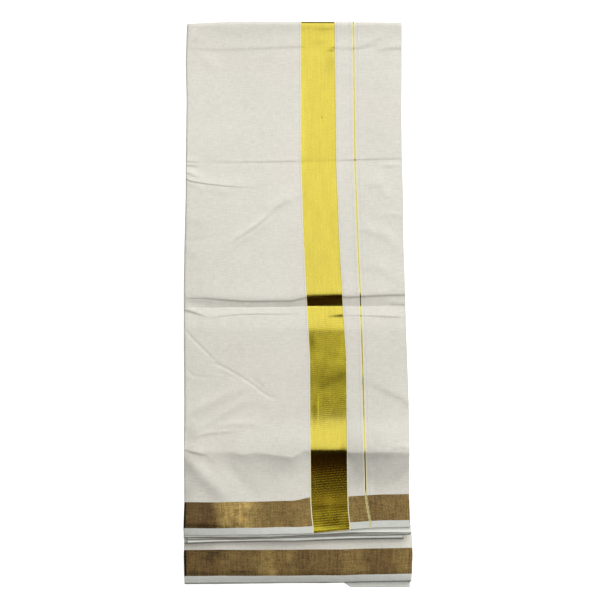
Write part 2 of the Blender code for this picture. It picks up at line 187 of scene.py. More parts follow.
# Wrinkles of the front face, each a line of points from left to right. The first number says how
# many times wider the side towards the top fold is. The points' columns are x, from_fold, height
# and half_width; a negative height is a furrow.
WRINKLES = {
    "long slanting furrow": (1, (
        (-128, 349, -0.3, 1), (-119.4, 360.6, -0.4, 1), (-103.2, 376.7, -0.42, 1),
        (-93.5, 386.4, -0.38, 1), (-86, 393, -0.1, 1.2))),
    "long slanting furrow, middle": (1, (
        (-102, 382.5, -0.05, 1.1), (-94.3, 390.9, -0.25, 1.1), (-86.2, 392.8, -0.34, 1.2),
        (-75.8, 398.4, -0.4, 1.2), (-64.5, 404.8, -0.34, 1.2), (-56.4, 409.6, -0.4, 1.2),
        (-45.1, 417.6, -0.46, 1.4), (-37.1, 424, -0.4, 1.5), (-29, 428.4, -0.3, 1.6),
        (-20, 431.5, -0.02, 2.4))),
    "furrow beside it": (1, ((-54, 404, -0.05, 1.5), (-42, 414, -0.26, 1.5), (-28, 425, -0.05, 2))),
    "short furrow below it": (1, (
        (-87, 401, -0.1, 1.2), (-75.8, 404.8, -0.24, 1.2), (-66, 410, -0.02, 1.6))),
    "upper slanting fold": (5, (
        (-84, 259, 0.04, 1.4), (-71, 251, 0.5, 1), (-58, 243, 0.95, 0.9), (-46, 234.5, 1.05, 0.9),
        (-34, 224.5, 0.9, 1), (-27, 216, 0.74, 1.6), (-10, 206, 0.66, 2), (4, 198, 0.02, 3))),
    "shade below it": (3, (
        (-94, 276, 0.05, 3), (-82, 265.5, 0.3, 2.4), (-66, 255, 0.4, 1.8), (-54, 248, 0.42, 1.6),
        (-34, 233, 0.28, 2), (-26, 226, 0.03, 3))),
    "shade at the band": (2, ((-44, 216, 0.05, 5), (-20, 206, 0.35, 5), (0, 194, 0.2, 5))),
    "left furrow": (1, (
        (-128, 251, -0.15, 1.3), (-116, 252, -0.25, 1.3), (-107, 250.5, -0.28, 1.3),
        (-92, 246, -0.02, 1.8))),
    "left curve": (3, ((-126, 262, 0.05, 2.4), (-118, 267.5, 0.3, 2.4), (-106, 271, 0.05, 3))),
    "left shade": (3, ((-127, 228, 0.25, 4), (-112, 228, 0.25, 4), (-98, 232, 0.02, 5))),
    "side line above the crease": (5, (
        (-129, 159.4, 0.34, 0.9), (-118, 160.2, 0.3, 0.9), (-106, 161, 0.02, 1))),
    "side pinch at the crease": (9, (
        (-129, 164, 0.66, 1), (-119, 164.8, 0.56, 0.9), (-108, 165.2, 0.02, 1.2))),
    "side pinch above": (6, (
        (-129, 171.5, 0.66, 1), (-117, 176.5, 0.56, 0.9), (-107, 180.3, 0.02, 1.2))),
    "side pinch": (9, (
        (-129, 178, 0.6, 0.9), (-121, 182.6, 0.66, 0.8), (-104, 185.6, 0.46, 0.75),
        (-81, 188.4, 0.42, 0.75), (-62, 189.6, 0.24, 0.8), (-44, 188.6, 0.02, 1.2))),
    "side pinch below": (3, ((-122, 186.5, 0.3, 1.4), (-112, 191, 0.22, 1.8), (-98, 195, 0.03, 3))),
    "soft pinch below": (2, ((-104, 190, 0.05, 3), (-88, 194, 0.3, 3.4), (-70, 198, 0.03, 4))),
    "middle side pinch": (7, (
        (-129, 328.5, 1, 1.2), (-121, 331, 0.96, 1.1), (-113, 333.5, 0.72, 1),
        (-98, 338.5, 0.05, 1.2))),
    "line under the middle crease": (7, (
        (-98, 339, 0.1, 1), (-87, 337, 0.36, 0.9), (-60, 334.4, 0.4, 0.9), (-16, 334.3, 0.3, 1),
        (6, 334.3, 0.02, 1.2))),
    "line beyond the band": (6, (
        (30, 338, 0.01, 1.4), (40, 337, 0.05, 1.2), (53, 336, 0.08, 1), (60, 336, 0.26, 0.9),
        (88, 336.6, 0.36, 0.9), (104, 337.4, 0.5, 0.9), (113, 337.6, 0.4, 0.9),
        (122, 337.8, 0.03, 1))),
    "crease wedge": (4, ((100, 321, 0.03, 1.2), (110, 322.4, 0.35, 1.1), (127, 324, 0.5, 1.2))),
    "faint left fold": (1, (
        (-126, 394, -0.12, 1.3), (-120.8, 400.8, -0.26, 1.3), (-115.3, 404.8, -0.28, 1.3),
        (-104.7, 406.4, -0.2, 1.4), (-90, 407, -0.02, 1.8))),
    "soft left streak": (1, (
        (-124, 450, 0.1, 6), (-107, 440, 0.75, 5.5), (-80, 426, 0.6, 6), (-58, 417, 0.3, 7),
        (-44, 412, 0.02, 8))),
    "second left streak": (1.6, (
        (-116, 468, 0.05, 3), (-104, 461, 0.42, 3), (-84, 448.5, 0.55, 3.2), (-62, 435.5, 0.45, 3.6),
        (-44, 427, 0.03, 4))),
    "dull patch": (1, ((-90, 372, 0.05, 7), (-64, 366, 0.32, 8), (-34, 360, 0.05, 8))),
    "softer end of the middle crease": (1, (
        (-130, 319, 0.36, 1.7), (-104, 319.3, 0.32, 1.7), (-92, 320.4, 0.16, 1.8),
        (-82, 321.5, 0.02, 1.8))),
    "soft line above the lower left one": (3, (
        (-96, 463.5, 0.05, 1.8), (-84, 460.4, 0.46, 1.8), (-63, 458.9, 0.5, 1.8),
        (-50, 459.5, 0.36, 2), (-32, 461, 0.02, 2.4))),
    "lower left line": (4, (
        (-122, 479, 0.1, 1.6), (-116, 474.9, 0.3, 1.5), (-107.5, 470.9, 0.5, 1.4),
        (-96, 468.8, 0.5, 1.4), (-80, 467.2, 0.4, 1.8), (-58, 465.3, 0.03, 2.8))),
    "lower left notch": (5, (
        (-129, 485, 0.6, 1.5), (-117, 489.2, 0.8, 1.3), (-109, 491.1, 0.75, 1.3),
        (-101, 492.4, 0.5, 1.8), (-88, 503, 0.05, 3.4))),
    "lower left corner": (1, (
        (-126, 494, 0.6, 6), (-120, 500.3, 1, 6.5), (-110.5, 510, 1.35, 7.5), (-96, 524.2, 1.4, 8),
        (-86.5, 533.6, 1.1, 8.5), (-70, 550, 0.2, 9))),
    "lower left dip": (1, (
        (-88, 498, -0.1, 6), (-72, 512, -0.6, 7), (-54, 530, -0.5, 8), (-38, 547, -0.05, 9))),
    "lower right side": (3, ((106, 488, 0.06, 1.1), (115, 483.8, 0.5, 1), (128, 486, 0.55, 1.1))),
    "lower right hollow": (2.5, ((88, 530, 0.1, 9), (104, 516, 1.2, 7), (128, 498, 1.2, 6))),
    "right dent": (5, (
        (72, 402, 0.03, 5), (80.5, 409.3, 0.4, 4.4), (102.9, 420.5, 0.6, 4),
        (118.6, 428.4, 0.6, 2.6), (127, 438, 0.55, 1.8))),
    "right upright crease": (1, (
        (86, 470, -0.03, 2), (86.5, 490, -0.3, 1.6), (87, 535, -0.25, 1.8), (87, 560, -0.03, 2.4))),
    "upper right slant": (2, (
        (64, 236, 0.05, 4), (80, 239, 0.4, 4), (103, 247, 0.45, 4), (118, 262, 0.15, 5))),
    "lower right slant": (2, (
        (66, 278, 0.05, 4), (88, 280, 0.4, 4), (104, 288, 0.4, 4), (120, 301, 0.1, 5))),
    "right stitch below": (4, ((92, 195, 0.03, 1.2), (100, 195.4, 0.28, 1.1), (108, 196, 0.03, 1.2))),
    "small right pinch": (4, ((94, 200, 0.03, 1.2), (102, 200.2, 0.28, 1.1), (112, 200, 0.03, 1.6))),
    "right shade": (2.5, ((74, 186, 0.05, 4), (92, 186, 0.4, 4), (104, 187, 0.05, 4))),
    "right edge line": (2, ((96, 222.5, 0.03, 1.6), (108, 222, 0.28, 1.5), (122, 222.6, 0.25, 1.6))),
    "right stitch": (4, ((92, 165.6, 0.03, 1.1), (104, 165.4, 0.34, 1), (122, 165.4, 0.3, 1))),
    "upper crease, left": (4, (
        (-96, 161, 0.03, 1), (-80, 160.8, 0.16, 0.9), (-40, 160.3, 0.26, 0.9), (-6, 159.5, 0.3, 1),
        (4, 159.5, 0.02, 1.2))),
    "upper crease, right": (4, (
        (46, 158.4, 0.03, 1), (58, 158, 0.26, 0.9), (96, 156.8, 0.2, 1), (124, 156.4, 0.12, 1.2))),
    "top crosswise crease": (5, (
        (-128, 26.3, 0.15, 1.7), (-93.5, 29.1, 0.26, 1.7), (-64.8, 29.1, 0.34, 1.7),
        (-13.2, 26.3, 0.3, 1.7), (2.9, 26.3, 0.28, 1.6), (12, 26.5, 0.02, 1.6))),
    "smudge on the band": (3, ((28, 28.5, 0.01, 1.8), (36, 27.3, 0.05, 1.6), (46, 26.8, 0.12, 1.4))),
    "top right sweep": (4, (
        (48, 28, 0.2, 1.9), (67, 27.4, 0.38, 2), (77, 25.2, 0.48, 2.2), (87, 21.3, 0.55, 2.5),
        (95, 15.5, 0.5, 3), (106, 8, 0.05, 3.4))),
    "top right corner": (3, (
        (88, 31, 0.05, 2.4), (97, 29.7, 0.36, 2.2), (105, 27.2, 0.48, 2.4), (127, 26.3, 0.55, 2.4))),
    "faint line at the right": (4, (
        (50, 62.6, 0.15, 1.3), (55.5, 63, 0.22, 1.2), (69, 64.7, 0.25, 1.2), (85, 67, 0.22, 1.3),
        (100, 69, 0.02, 1.6))),
    "faint line": (5, (
        (-82, 70, 0.02, 1.4), (-50, 71.5, 0.18, 1.3), (6, 71, 0.15, 1.3), (60, 71.7, 0.2, 1.3),
        (119, 72, 0.12, 1.5))),
    "top left slant": (3, ((-118, 28, 0.05, 2.4), (-102, 45, 0.36, 2.6), (-84, 60, 0.03, 3.4))),
    "top left blotch": (2, ((-92, 10, 0.05, 3), (-74, 9, 0.4, 3), (-56, 10, 0.05, 3))),
    "top left shade": (2, ((-124, 16, 0.1, 3), (-112, 17.5, 0.36, 3), (-98, 16, 0.03, 3))),
    "top corner pinch": (1, ((-126, 24, 0.5, 1.8), (-123, 17, 0.6, 1.8), (-118, 7, 0.4, 2))),
}

# Where the bronze borders take a painted highlight, along the strip from the cut end: on the front panel
# and on the second one, whose border shows at the open end.
FRONT_PAINTED_HIGHLIGHT = Table(("place", "share"), (
    (0, 0.3), (25, 0.26), (42, 0.2), (55, 0.36), (68, 0.4), (122, 0.42), (132, 0.28), (148, 0.34),
    (166, 0.42), (178, 0.7), (188, 0.95), (191, 0.62), (195, 1), (204, 1), (212, 0.6), (219, 0.1),
    (228, 0.02), (243, 0.12), (250, 0.08),
))
INNER_PAINTED_HIGHLIGHT = Table(("place", "share"), (
    (250, 0.1), (262, 0.18), (274, 0.06), (290, 0.2), (312, 0.22), (326, 0.26), (338, 0.6), (346, 0.6),
    (352, 0.3), (366, 0.36), (380, 0.14), (398, 0.26), (418, 0.2), (434, 0.42), (442, 0.36),
    (455, 0.16), (478, 0.18), (490, 0.42), (500, 0.32),
))

# Soft spots, in mm of cloth from the cut end and from the front selvedge: how far each reaches and how
# much brighter or darker it makes the thread. On the cotton they are painted shade; on the gold and the
# bronze, painted highlights and painted shade.
MARK_COLUMNS = ("warp", "weft", "reach_warp", "reach_weft", "tone")
# Painted reflections and painted shade in soft spots on the gold.
GOLD_PAINTED_SHEEN_AND_SHADE = Table(MARK_COLUMNS, (
    (89, 35, 5.6, 7.8, 0.4), (89, 19, 4.5, 10, 0.3), (104, 20, 5.6, 4.5, 0.5),
    (103, 10, 6.7, 4.5, 0.45), (75, 11, 4.5, 5.6, 0.4), (72, 18, 3.4, 1.8, 0.6),
    (97, 28, 10, 1.3, -0.35), (77, 26, 5.6, 1.1, -0.3), (86, 13, 6.7, 4.5, -0.22),
    (105, 60, 4.5, 13.4, 0.4), (101, 44, 5.6, 5.6, 0.15), (98, 4, 14, 2.4, 0.9), (80, 4, 12, 2.4, 0.8),
    (106, 212, 3.9, 10, -0.4), (74, 203, 5.6, 11, 0.2), (73, 173, 7.8, 4.5, -0.26),
    (83, 168, 7.8, 4.5, -0.26), (93, 162, 6.7, 4.5, -0.26), (100, 141, 0.9, 12.3, 0.6),
    (104, 133, 2.5, 13.4, -0.34), (78, 187, 9, 5.6, 0.2), (98, 196, 4.5, 5.6, 0.22),
    (75, 529, 6.7, 13.4, -0.1), (80, 570, 12.3, 1.8, -0.16), (85, 555, 11.2, 3.4, -0.1),
    (73, 545, 5.6, 1.7, -0.35), (107, 476, 2.6, 45, 0.1), (85, 468, 0.8, 1, -0.6),
    (76, 239.6, 9, 1.6, -0.6), (72, 239, 4, 2.4, -0.35), (89, 252.4, 34, 0.8, 0.35),
    (89, 62, 40, 8, 0.13),
))
# Painted shade: soft darker patches on the lower front face and on the far half at the open end.
COTTON_PAINTED_SHADE = Table(MARK_COLUMNS, (
    (62, 76, 12, 34, -0.2), (38, 76, 18, 32, -0.15), (10, 74, 16, 30, -0.1), (246, 114, 9, 8, -0.14),
    (246, 74, 13, 36, -0.15), (224, 58, 14, 13, -0.08), (135, 93, 30, 12, -0.07),
    (55, 58, 12, 12, -0.11), (22, 60, 24, 12, -0.09), (248, 45, 10, 12, -0.11),
    (215, 43, 18, 11, -0.07), (142, 71, 28, 9, -0.07), (266, 1180, 22, 7, -0.22),
))
# Painted highlights and painted shade in soft spots and lines on the bronze.
BRONZE_PAINTED_SHEEN_AND_SHADE = Table(MARK_COLUMNS, (
    (188.7, 22, 0.8, 16, 0.35), (181, 32, 6, 5, 0.25), (183.6, 17, 7, 5, 0.2),
    (226, 11, 20, 1.6, -0.32), (207, 8.5, 18, 1.2, -0.38), (226, 16, 14, 1, 0.25),
    (236.5, 25, 1.2, 12, 0.2), (128, 33, 5, 5, 0.2), (142, 25, 3, 10, -0.12),
    (285.4, 1186.6, 9, 5, -0.25), (275, 1193.3, 7, 3.5, -0.16), (304.6, 1190, 7, 4, 0.2),
    (292, 1197.8, 10, 3, 0.16), (276.4, 1204.6, 8, 3, 0.12), (309, 1208, 14, 2.5, -0.26),
    (263, 1209, 8, 2, -0.15), (348.4, 1208, 4, 5, 0.36), (366, 1190, 6, 6, 0.2),
    (363, 1201, 8, 4, -0.15), (275, 1183.8, 24, 1.2, -0.2),
))

# ---- rows and columns of the meshes, in mm ----
# Each pair is how far a grade goes from the top fold, and the step between its rows.
FINE_ROWS = (
    (24, 3.2), (32, 1.1), (60, 5), (150, 7), (157, 2.3), (161.6, 0.6), (163.6, 1), (166, 0.7),
    (182, 1.7), (185.6, 0.9), (188.6, 0.5), (200, 1.3), (262, 2.3), (300, 4.2), (311, 1.9),
    (318.4, 0.55), (325, 1.3), (327, 0.5), (332, 1.25), (338.6, 0.66), (346, 1.5), (436, 1.36),
    (464, 2.3), (472, 1.1), (486, 1.8), (496, 0.84), (512, 1.6), (574, 3.3), (582, 1.6),
)
COARSE_ROWS = (
    (60, 9), (146, 22), (172, 6), (296, 20), (310, 5), (340, 1.8), (470, 12), (512, 3.5), (582, 7),
)
BACK_ROWS = ((100, 30), (550, 60), (620, 5), (642, 2))
FRONT_START = 2.0 * MM
FOLD_STEPS = 14  # facets round the top fold
TURN_STEPS = 8  # facets round a side fold
FLAP_COLUMNS = (0.70, 0.715, 0.73, 0.745)  # shares where the low flap at the open end begins
STUB = 0.06  # share of the second panel that the outer cloth still covers


def through(where, stops, values):
    """A broken line through (stop, value) pairs, for whole arrays: the first value plus, for each
    stretch, its rise times the share of the stretch that lies behind the place."""
    result = values[0] + 0.0 * where
    for low, high, start, end in zip(stops, stops[1:], values, values[1:]):
        result = result + (end - start) * np.clip((where - low) / (high - low), 0, 1)
    return result


def ease(share):
    """Smooth step of a share from 0 to 1: 3t^2 - 2t^3."""
    t = np.clip(share, 0, 1)
    return t * t * (3 - 2 * t)


def grown(name, place):
    """Share from 0 to 1 of a change along the bundle, evenly over its length."""
    start, length = GROWTH[name]
    return np.clip((place - start * MM) / (length * MM), 0, 1)


# ---- the front face's relief ----
def press_profile():
    """Places and heights along the bundle: the running sum of the slope's tangent."""
    turns = SLOPES.column("from_fold")
    places = np.arange(turns[0], turns[-1] + 0.1, 0.1) * MM
    slopes = np.interp(places / MM, turns, SLOPES.column("slope"))
    heights = np.cumsum(np.tan(np.radians(slopes))) * 0.1 * MM
    return places, heights + 0.3 * MM - heights.min()


PROFILE_PLACES, PROFILE_HEIGHTS = press_profile()


def stray(x, place):
    """How far rows are moved along the bundle to follow the creases: each crease's stray times a
    tent that is 1 on the crease and falls in straight lines to 0."""
    total = np.zeros(np.broadcast(x, place).shape)
    for name, (centre, before, after) in STRAY_REACH.items():
        away = place / MM - centre
        tent = np.clip(1 - np.abs(away) / np.where(away < 0, before, after), 0, 1)
        total = total + STRAY.along(name, x) * tent
    return total


def pressed_height(x, place):
    """Height of the press creases: the profile, lower towards the side edges. Past the middle of
    the bundle what stands above the open end's height is times the lower crest's share."""
    crown = np.clip(1 - 0.30 * np.abs(x / HALF_WIDTH) ** 4, 0.5, 1)
    skewed = x - CREST_SKEW * np.clip(place - CREST_PLACE, 0, CREST_RUN)
    share = STRAY.along("lower_share", skewed) / MM
    height = np.interp(place, PROFILE_PLACES, PROFILE_HEIGHTS)
    above = height - np.interp(LOW_PLACE, PROFILE_PLACES, PROFILE_HEIGHTS)
    return (height + (share - 1) * above * ease(grown("lower_share", place))) * crown


def wrinkle_height(x, from_fold):
    """Each wrinkle is a bell, exp(-d^2 / w^2), of the distance d to its line; height and width w
    run straight from point to point, w is wider on the top-fold side by the wrinkle's lean, and
    only the nearest stretch of the line counts."""
    total = np.zeros(np.broadcast(x, from_fold).shape)
    for lean, points in WRINKLES.values():
        nearest = np.full(total.shape, np.inf)
        shape = np.zeros(total.shape)
        for start, end in zip(points, points[1:]):
            x0, s0, h0, w0 = (value * MM for value in start)
            x1, s1, h1, w1 = (value * MM for value in end)
            run, drop = x1 - x0, s1 - s0
            share = np.clip(((x - x0) * run + (from_fold - s0) * drop) / (run**2 + drop**2), 0, 1)
            away = np.hypot(x - x0 - share * run, from_fold - s0 - share * drop)
            above = run * (from_fold - s0) - drop * (x - x0) < 0
            width = (w0 + share * (w1 - w0)) * np.where(above, lean, 1.0)
            closer = away < nearest
            shape = np.where(closer, (h0 + share * (h1 - h0)) * np.exp(-((away / width) ** 2)), shape)
            nearest = np.where(closer, away, nearest)
        total = total + shape
    return total


def soft_swell(x, from_fold):
    """Slow unevenness of hand-pressed cloth: a base height and three crossing sine waves of unlike
    lengths, which begin below the top fold."""
    total = SWELL_BASE
    for height, across, down, phase in SWELL.rows:
        total = total + height * np.sin(x / (across * MM) + from_fold / (down * MM) + phase)
    return total * MM * ease(grown("swell", from_fold))


def end_droop(x, from_fold):
    """How far the front half's open end hangs down: a smooth step along, by place across."""
    return DROOP.along("front_end", x) * ease(grown("front_droop", from_fold))


def back_lift(x, from_fold):
    """How far the loose inner layers of the far half rise under the front half's end, with a slow
    wave across, less their fall at their own end, a power curve."""
    rise = DROOP.along("far_rise", x) * ease(grown("far_rise", from_fold))
    fall = DROOP.along("far_end", x) * grown("far_fall", from_fold) ** 2.2
    wave = 1 + 0.09 * np.sin(x / 0.017 + 1.0) + 0.08 * np.sin(x / 0.041)
    return rise * wave - fall


# ---- folding ----
def stack_order(doublings):
    """Panel numbers from the front of the stack to its back. Each doubling of the strip lays
    panel 2n + 1 - p against panel p, above it and below it by turns."""
    order = [1]
    for _ in range(doublings):
        count = 2 * len(order)
        pairs = [(p, count + 1 - p) if k % 2 == 0 else (count + 1 - p, p) for k, p in enumerate(order)]
        order = [panel for pair in pairs for panel in pair]
    return order


LEVEL_OF = {panel: level for level, panel in enumerate(stack_order(DOUBLINGS))}


def corner_dip(x):
    """How far the top fold falls back: by the power 1.5 of the share of the way to the left corner,
    and evenly towards the right edge."""
    left = np.clip((-x - CORNER_START) / CORNER_RUN, 0, 1)
    return CORNER_DIP * left**1.5 + RIGHT_DIP * np.clip(x / HALF_WIDTH, 0, 1)


def selvedge(table, level, x):
    """Distance of a layer's selvedge from the top fold: straight runs between the table's places
    across and between its levels, and two small sine waves."""
    lines = [np.interp(x / MM, table.names[1:], row[1:]) * MM for row in table.rows]
    uneven = 0.22 * MM * np.sin(x / 0.021 + 2.3 * level) + 0.15 * MM * np.sin(x / 0.0083 + 5.1 * level)
    return through(level, table.column("level"), lines) + uneven


def section(panel_columns):
    """The folded strip seen from its end: arrays along the strip of the panel, the share of the
    way from right to left, the level, the bulge past the side fold, how far the cloth is turned
    there (0 flat, 1 upright) and the place along the cloth.

    Flat panels are straight runs between the two sides. A side fold between two levels is a half
    circle: the level goes with the cosine and the bulge with the sine of the turning angle.
    """
    panel, left, level, bulge, turn, length, place = [], [], [], [], [], [], 0.0
    for number in range(1, PANELS + 1):
        here = LEVEL_OF[number]
        runs_left = number % 2 == 1
        shares = np.asarray(panel_columns[number], float)
        panel.append(np.full(shares.shape, number))
        left.append(shares if runs_left else 1 - shares)
        level.append(np.full(shares.shape, float(here)))
        bulge.append(np.zeros(shares.shape))
        turn.append(np.zeros(shares.shape))
        length.append(place + shares * PANEL)
        place += PANEL
        if number < PANELS:
            there = LEVEL_OF[number + 1]
            angle = np.arange(1, TURN_STEPS) * math.pi / TURN_STEPS
            radius = abs(there - here) / 2 * PITCH
            panel.append(np.full(angle.shape, number + 0.5))
            left.append(np.full(angle.shape, 1.0 if runs_left else 0.0))
            level.append((here + there) / 2 + (here - there) / 2 * np.cos(angle))
            bulge.append(radius * np.sin(angle) * (-1 if runs_left else 1))
            turn.append(np.sin(angle))
            length.append(np.full(angle.shape, place))
    parts = {"panel": panel, "left": left, "level": level, "bulge": bulge, "turn": turn, "length": length}
    return {name: np.concatenate(pieces)[None, :] for name, pieces in parts.items()}


def graded(start, grades):
    """Row places from a start, evenly spaced up to each grade's end at about the grade's step."""
    places = [start]
    for until, step in grades:
        count = max(1, round((until * MM - places[-1]) / (step * MM)))
        places += list(np.linspace(places[-1], until * MM, count + 1)[1:])
    return np.array(places)


def stations(front_grades):
    """Rows of a sheet, from the front selvedge over the top fold to the back one: arrays of the
    distance from the fold, the turning angle, and which stretch the row is in."""
    front = graded(FRONT_START, front_grades)[::-1]
    angle = np.linspace(0, math.pi, FOLD_STEPS + 1)
    back = graded(FRONT_START, BACK_ROWS)
    turning = np.concatenate((np.zeros(len(front)), angle, np.full(len(back), math.pi)))
    distance = np.concatenate((front, np.full(len(angle), FRONT_START), back))
    stretch = np.concatenate((np.full(len(front), -1), np.zeros(len(angle)), np.full(len(back), 1)))
    return {"distance": distance[:, None], "angle": turning[:, None], "stretch": stretch[:, None]}


def side_insets(strip, distance, is_front):
    """How far each side fold lies inside the bundle's outline, more at the open end, and its own
    slow wander, two sine waves. Turns that share a middle level are one nest and move together; the
    cut end and the strip's last edge have insets of their own."""
    open_end = ease(grown("narrowing", distance)) * np.where(is_front, 1.0, 0.3)
    level, panel = strip["level"], strip["panel"]
    depth = np.minimum(level, INNERMOST - level)
    left = depth * LEFT_STEP + ease(depth / 7) * LEFT_OPEN * open_end
    nest = np.where(level < 4, 0, np.where(level < 8, 1, 2))
    right = np.choose(nest, NEST_INSETS) + np.choose(nest, NEST_OPEN) * open_end * is_front
    wander = np.sin(distance / 0.047 + 2.1 * nest) + 0.6 * np.sin(distance / 0.019 + 4.0 * nest)
    right = right + NEST_WANDER * wander
    right = np.where(panel == 1, CUT_END_INSET, right)
    last_edge = LAST_EDGE_INSET + LAST_EDGE_WANDER * np.sin(distance / 0.033)
    return left, np.where(panel == PANELS, last_edge, right)


def lay(strip, rows, wrinkled):
    """World points of every row and column of a sheet, with its weave coordinates.

    Across, a point lies its share of the way between the two side folds. Its level gives its
    depth, the distance from the middle plane. The top fold turns that depth through half a
    squared-off ellipse: z goes with the root of the cosine, y with the root of the sine. Near the
    open end the rows swing round, so that the last ones are the selvedges. The relief is the creases
    and the swell, fading evenly to nothing at the innermost level.
    """
    distance, angle, stretch = rows["distance"], rows["angle"], rows["stretch"]
    level = strip["level"]
    is_front, is_fold = stretch < 0, stretch == 0
    left_inset, right_inset = side_insets(strip, distance, is_front)
    left = OUTLINE.along("left", distance) + TURN_CENTRE + left_inset
    right = OUTLINE.along("right", distance) - right_inset
    turn_room = np.where((strip["left"] == 0) & (strip["bulge"] > 0) | (strip["panel"] > 1), 1.0, 0.0)
    right = right - turn_room * nest_radius(strip)
    x = right + (left - right) * strip["left"] + strip["bulge"]
    depth = LEVEL_OUTER - (level + 0.5) * PITCH

    front_end = selvedge(FRONT_SELVEDGE, level, x)
    back_end = selvedge(BACK_SELVEDGE, level, x)
    table_end = np.where(is_front, front_end, back_end)
    nominal = np.where(is_front, FRONT_END, BACK_END)
    swing = np.clip(1 - (nominal - distance) / END_FOLLOW, 0, 1)
    place = distance + (table_end - nominal) * swing * ~is_fold
    from_fold = place + stray(x, place) * is_front

    y_flat = TOP_FOLD_Y - from_fold - corner_dip(x) * np.clip(1 - distance / SETTLE, 0, 1)
    squared = np.sign(np.cos(angle)) * np.sqrt(np.abs(np.cos(angle)))
    fold_start = TOP_FOLD_Y + TOP_SWELL - FOLD_REACH * LEVEL_OUTER - corner_dip(x)
    y_fold = fold_start + FOLD_REACH * depth * np.sqrt(np.abs(np.sin(angle)))
    rise = pressed_height(x, place) + soft_swell(x, from_fold)
    outwards = 1 - level / INNERMOST
    relief = rise * outwards * np.where(level > 0, RELIEF_UNDER, 1.0)
    relief = relief - end_droop(x, from_fold) * outwards**DROOP_FADE
    loosened = DROOP.along("loosened", x) * ease(grown("loosening", from_fold))
    relief = relief + level * loosened * is_front
    if wrinkled:
        relief = relief + wrinkle_height(x, from_fold) * np.clip(1 - level / WRINKLE_LEVELS, 0, 1)
    y = np.where(is_fold, y_fold, y_flat)
    curl = CURL * ease(grown("curl", from_fold)) * (level == 1)
    loose = (back_lift(x, from_fold) * level / INNERMOST + curl) * (stretch > 0)
    z = MIDDLE_Z + depth * squared + relief * np.clip(squared, 0, 1) + loose

    width = front_end - np.where(is_front, from_fold, FRONT_START) + depth * angle
    width = width + np.where(stretch > 0, from_fold - FRONT_START, 0)
    whole = front_end + back_end - 2 * FRONT_START + depth * math.pi
    weft = width * CUT_WIDTH / whole
    warp = np.broadcast_to(strip["length"], x.shape)
    threads = [THREADS.along(name, distance) for name in THREADS.names[1:]]
    stops = [-(OUTLINE.along("right", distance) - CUT_END_INSET),
             *(-t for t in threads), -left]
    marks = [*THREAD_PLACE.values(), PANEL]
    warp = np.where(strip["panel"] == 1, through(-x, stops, marks), warp)
    turned = np.maximum(strip["turn"], np.sin(angle))
    return np.stack((x, y, z), axis=-1), warp, weft, turned


def nest_radius(strip):
    """Radius of the outermost fold of the right-hand nest that a level belongs to."""
    level = strip["level"]
    return np.where(level < 1.5, 0.0, np.where(level < 4, 0.5, np.where(level < 8, 1.5, 3.5))) * PITCH


def placed(name, data):
    """A new object of the scene."""
    made = bpy.data.objects.new(name, data)
    bpy.context.scene.collection.objects.link(made)
    return made


def cloth_piece(name, points, warp, weft, turned, material):
    """A closed thin shell: the surface moved half the cloth's thickness along its normals to both
    sides, and a rim of quads between the two. The normals are the cross products of the
    differences along rows and columns. The UV map holds metres along and across the cloth, and the
    attribute "turned" is 0 where it lies flat and 1 where a fold stands upright."""
    down, across = np.gradient(points, axis=0), np.gradient(points, axis=1)
    normal = np.cross(across, down)
    normal /= np.linalg.norm(normal, axis=-1, keepdims=True)
    rows, columns = warp.shape
    count = rows * columns
    outer, inner = points + normal * CLOTH / 2, points - normal * CLOTH / 2
    grid = np.arange(count).reshape(rows, columns)
    a, b, c, d = grid[:-1, :-1], grid[:-1, 1:], grid[1:, 1:], grid[1:, :-1]
    quads = np.stack((a, b, c, d), axis=-1).reshape(-1, 4)
    rim = np.concatenate((grid[0, :], grid[1:, -1], grid[-1, -2::-1], grid[-2:0:-1, 0]))
    after = np.roll(rim, -1)
    sides = np.stack((rim, rim + count, after + count, after), axis=-1)
    faces = np.concatenate((quads, quads[:, ::-1] + count, sides))
    mesh = bpy.data.meshes.new(name)
    vertices = np.concatenate((outer.reshape(-1, 3), inner.reshape(-1, 3)))
    mesh.from_pydata(vertices, [], faces.tolist())
    layer = mesh.uv_layers.new(name="weave")
    both = np.concatenate((np.stack((warp, weft), axis=-1).reshape(-1, 2),) * 2)
    layer.data.foreach_set("uv", both[faces.reshape(-1)].astype(np.float32).ravel())
    folds = mesh.attributes.new("turned", "FLOAT", "POINT")
    folds.data.foreach_set("value", np.concatenate((turned.ravel(),) * 2).astype(np.float32))
    mesh.shade_smooth()
    mesh.set_sharp_from_angle(angle=math.radians(50))
    mesh.materials.append(material)
    return placed(name, mesh)


def panel_columns():
    """Column places on each panel, as shares of its run: fine on the front face, where its left
    half has the most wrinkles, and coarse on the panels that nothing shows of but their edges."""
    columns = {number: np.linspace(0, 1, 9) for number in range(1, PANELS + 1)}
    columns[1] = np.concatenate((np.linspace(0, 0.56, 56), np.linspace(0.56, 1, 77)[1:]))
    columns[PANELS] = np.union1d(columns[PANELS], FLAP_COLUMNS)
    columns[2] = np.concatenate(((0.0, STUB), np.linspace(STUB + 0.001, 1, 10)))
    return columns


# ---- finishes ----
class Wire:
    """An output of a node. Arithmetic signs between wires and numbers add Math nodes."""

    def __init__(self, finish, socket):
        self.finish = finish
        self.socket = socket

    def maths(self, operation, first, second=0.0):
        return self.finish.node("ShaderNodeMath", {"operation": operation}, {0: first, 1: second})

    def __add__(self, other):
        return self.maths("ADD", self, other)

    def __sub__(self, other):
        return self.maths("SUBTRACT", self, other)

    def __rsub__(self, other):
        return self.maths("SUBTRACT", other, self)

    def __mul__(self, other):
        return self.maths("MULTIPLY", self, other)

    def __truediv__(self, other):
        return self.maths("DIVIDE", self, other)

    __radd__ = __add__
    __rmul__ = __mul__


